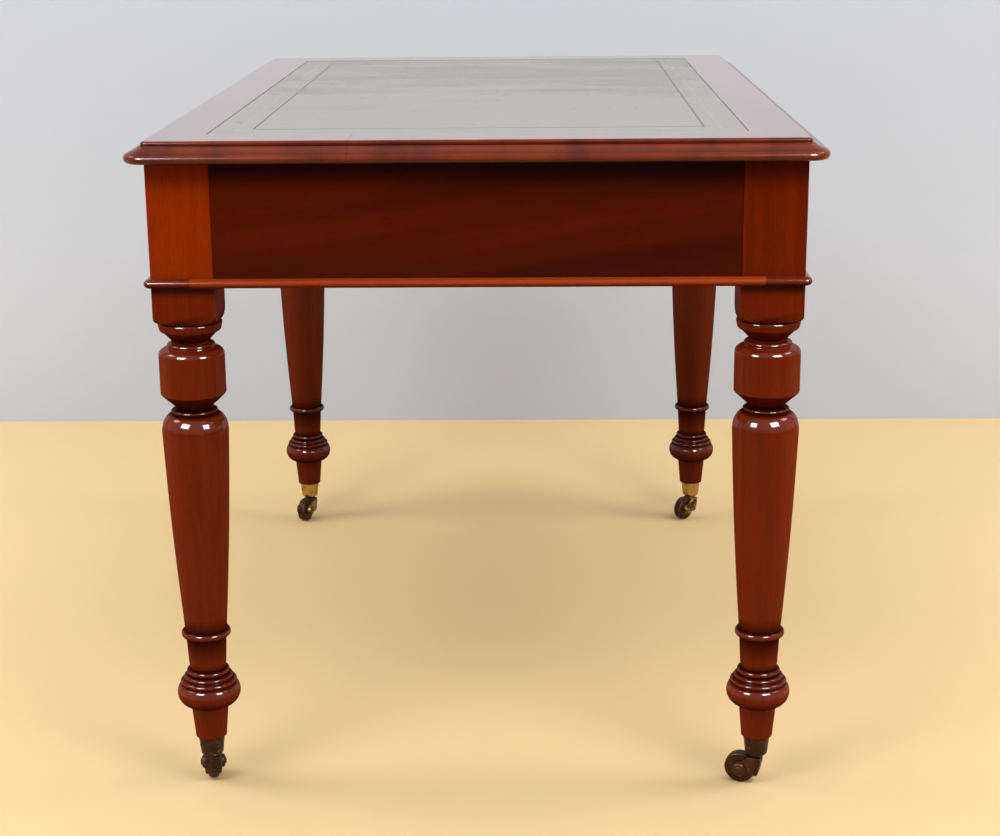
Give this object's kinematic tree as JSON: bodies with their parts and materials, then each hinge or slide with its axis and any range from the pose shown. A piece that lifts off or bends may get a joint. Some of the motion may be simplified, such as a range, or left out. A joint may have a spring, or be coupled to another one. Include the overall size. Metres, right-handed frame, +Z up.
{
  "type": "writing table",
  "caption": "Writing table with a leather-covered moulded top, a beaded frieze, turned legs on castors, and drawers that slide out of one long side.",
  "frame": {"origin": "on the floor, under the middle of the table's outline", "axes": "+Z up, +Y along the table to the end that is far in the picture, +X out of the side with the drawers"},
  "size_m": [0.753, 1.112, 0.762],
  "materials": {
    "polished_mahogany": "french polish, glossy",
    "dark_mahogany": "french polish, glossy, darker wood",
    "turned_mahogany": "french polish, glossy",
    "bead_mahogany": "french polish, glossy",
    "green_leather": "waxed, worn, tooled border",
    "aged_brass": "dark with age, rubbed bright on edges",
    "wheel_brass": "nearly black with age",
    "drawer_oak": "bare, waxed",
    "carcass_pine": "bare"
  },
  "bodies": {
    "table": {"top_board_left": "polished_mahogany", "top_board_right": "polished_mahogany", "writing_leather": "green_leather", "leg_near_left": "turned_mahogany", "leg_near_right": "turned_mahogany", "leg_far_left": "turned_mahogany", "leg_far_right": "turned_mahogany", "rail_near_end": "dark_mahogany", "rail_far_end": "dark_mahogany", "rail_back": "dark_mahogany", "rail_front_top": "polished_mahogany", "rail_front_bottom": "polished_mahogany", "muntin_front": "polished_mahogany", "runner_near": "carcass_pine", "runner_centre": "carcass_pine", "runner_far": "carcass_pine", "guide_near": "carcass_pine", "guide_centre": "carcass_pine", "guide_far": "carcass_pine", "kicker_centre": "carcass_pine", "drawer_stop_near": "drawer_oak", "drawer_stop_far": "drawer_oak", "bead_corner_near_left": "bead_mahogany", "bead_corner_near_right": "bead_mahogany", "bead_corner_far_left": "bead_mahogany", "bead_corner_far_right": "bead_mahogany", "bead_near": "dark_mahogany", "bead_far": "dark_mahogany", "bead_back": "dark_mahogany", "bead_front": "dark_mahogany", "castor_socket_near_left": "aged_brass", "castor_socket_near_right": "aged_brass", "castor_socket_far_left": "aged_brass", "castor_socket_far_right": "aged_brass"},
    "drawer_1": {"drawer_1_front": "polished_mahogany", "drawer_1_side_near": "drawer_oak", "drawer_1_side_far": "drawer_oak", "drawer_1_back": "drawer_oak", "drawer_1_bottom": "drawer_oak", "drawer_1_knob_near": "turned_mahogany", "drawer_1_knob_far": "turned_mahogany"},
    "drawer_2": {"drawer_2_front": "polished_mahogany", "drawer_2_side_near": "drawer_oak", "drawer_2_side_far": "drawer_oak", "drawer_2_back": "drawer_oak", "drawer_2_bottom": "drawer_oak", "drawer_2_knob_near": "turned_mahogany", "drawer_2_knob_far": "turned_mahogany"},
    "castor_near_left": {"castor_fork_near_left": "aged_brass", "castor_axle_near_left": "aged_brass"},
    "wheel_near_left": {"castor_wheel_near_left": "wheel_brass"},
    "castor_near_right": {"castor_fork_near_right": "aged_brass", "castor_axle_near_right": "aged_brass"},
    "wheel_near_right": {"castor_wheel_near_right": "wheel_brass"},
    "castor_far_left": {"castor_fork_far_left": "aged_brass", "castor_axle_far_left": "aged_brass"},
    "wheel_far_left": {"castor_wheel_far_left": "wheel_brass"},
    "castor_far_right": {"castor_fork_far_right": "aged_brass", "castor_axle_far_right": "aged_brass"},
    "wheel_far_right": {"castor_wheel_far_right": "wheel_brass"}
  },
  "joints": [
    {"name": "drawer_1_slide", "type": "slide", "parent": "table", "child": "drawer_1", "axis": [1, 0, 0], "range_m": [0, 0.42]},
    {"name": "drawer_2_slide", "type": "slide", "parent": "table", "child": "drawer_2", "axis": [1, 0, 0], "range_m": [0, 0.42]},
    {"name": "swivel_near_left", "type": "hinge", "parent": "table", "child": "castor_near_left", "pos_m": [-0.32, -0.4995, 0.034], "axis": [0, 0, 1], "continuous": true},
    {"name": "roll_near_left", "type": "hinge", "parent": "castor_near_left", "child": "wheel_near_left", "pos_m": [-0.32269, -0.4817, 0.0185], "axis": [-0.9888, -0.1495, 0], "continuous": true},
    {"name": "swivel_near_right", "type": "hinge", "parent": "table", "child": "castor_near_right", "pos_m": [0.32, -0.4995, 0.034], "axis": [0, 0, 1], "continuous": true},
    {"name": "roll_near_right", "type": "hinge", "parent": "castor_near_right", "child": "wheel_near_right", "pos_m": [0.30283, -0.49409, 0.0185], "axis": [-0.3007, -0.9537, 0], "continuous": true},
    {"name": "swivel_far_left", "type": "hinge", "parent": "table", "child": "castor_far_left", "pos_m": [-0.32, 0.4995, 0.034], "axis": [0, 0, 1], "continuous": true},
    {"name": "roll_far_left", "type": "hinge", "parent": "castor_far_left", "child": "wheel_far_left", "pos_m": [-0.32613, 0.48257, 0.0185], "axis": [0.9403, -0.3404, 0], "continuous": true},
    {"name": "swivel_far_right", "type": "hinge", "parent": "table", "child": "castor_far_right", "pos_m": [0.32, 0.4995, 0.034], "axis": [0, 0, 1], "continuous": true},
    {"name": "roll_far_right", "type": "hinge", "parent": "castor_far_right", "child": "wheel_far_right", "pos_m": [0.30791, 0.48617, 0.0185], "axis": [0.7408, -0.6717, 0], "continuous": true}
  ]
}
